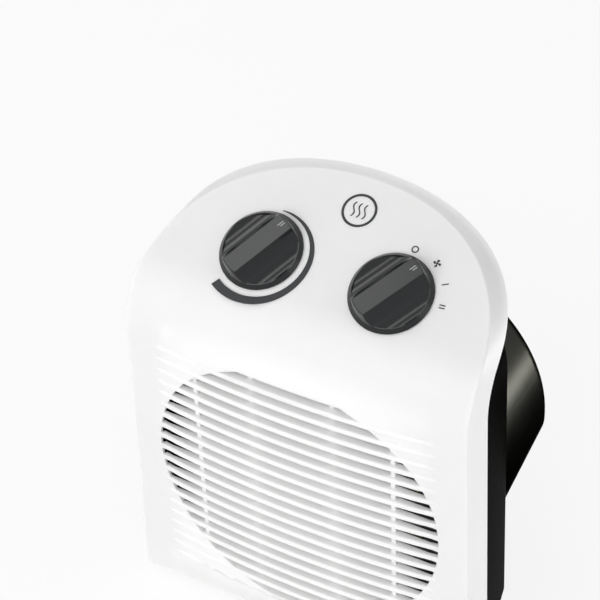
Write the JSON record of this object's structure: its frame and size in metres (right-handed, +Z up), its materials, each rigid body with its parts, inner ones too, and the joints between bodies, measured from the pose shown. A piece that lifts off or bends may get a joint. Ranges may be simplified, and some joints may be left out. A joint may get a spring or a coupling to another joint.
{
  "type": "ceramic fan heater",
  "caption": "Upright portable fan heater: a white domed front shell with a curved ribbed grille and a leaning two-knob panel, on a deep black rear casing.",
  "frame": {"origin": "on the surface the heater stands on, below the middle of its outer box", "axes": "+Z up, the grille faces -Y, +X to the right of someone who faces the grille"},
  "size_m": [0.2088, 0.144, 0.26],
  "materials": {
    "shell": "smooth white moulding",
    "casing": "satin black moulding",
    "knob": "smooth charcoal moulding, light gloss",
    "foot": "pale grey rubber",
    "bush": "matt black rubber",
    "steel": "plated",
    "zinc": "zinc plated sheet",
    "stone": "unglazed ceramic, cream",
    "spring_brass": "spring brass",
    "moulding": "heat-resistant moulding, black",
    "fins": "bright sheet",
    "duct": "dark grey moulding",
    "impeller": "dark grey moulding",
    "coil": "enamelled copper wire with tape",
    "bronze": "sintered bronze",
    "block": "cream moulding"
  },
  "bodies": {
    "housing": {"front_shell": "shell", "rear_casing": "casing", "foot_front_left": "foot", "foot_front_right": "foot", "foot_rear_left": "foot", "foot_rear_right": "foot", "thermostat_bracket": "zinc", "selector_bracket": "zinc", "thermostat_body": "stone", "thermostat_blades": "spring_brass", "selector_body": "moulding", "selector_terminals": "spring_brass", "control_screws": "steel", "element_frame": "moulding", "ptc_element_upper": "fins", "ptc_element_lower": "fins", "element_terminals": "spring_brass", "thermal_cutout": "moulding", "thermal_fuse": "steel", "fan_duct": "duct", "duct_screws": "steel", "motor_stator": "zinc", "motor_coil": "coil", "motor_front_bracket": "zinc", "motor_rear_bracket": "zinc", "motor_bushes": "bronze", "motor_screws": "steel", "cord_bushing": "bush", "cord_clamp": "moulding", "clamp_screws": "steel", "terminal_block": "block", "casing_screws": "steel"},
    "thermostat": {"thermostat_knob": "knob", "thermostat_spindle": "steel"},
    "selector": {"selector_knob": "knob", "selector_spindle": "steel"},
    "fan": {"fan_impeller": "impeller", "impeller_clip": "steel", "motor_shaft": "steel", "motor_rotor": "fins"}
  },
  "joints": [
    {"name": "thermostat_turn", "type": "hinge", "parent": "housing", "child": "thermostat", "pos_m": [-0.0378, -0.02626, 0.23425], "axis": [0, 0.454, -0.891], "range_deg": [-28.5, 186.5]},
    {"name": "selector_turn", "type": "hinge", "parent": "housing", "child": "selector", "pos_m": [0.0378, -0.02626, 0.23425], "axis": [0, 0.454, -0.891], "range_deg": [-27.3, 54.6]},
    {"name": "fan_spin", "type": "hinge", "parent": "housing", "child": "fan", "pos_m": [0, -0.018, 0.1085], "axis": [0, 1, 0], "continuous": true}
  ]
}
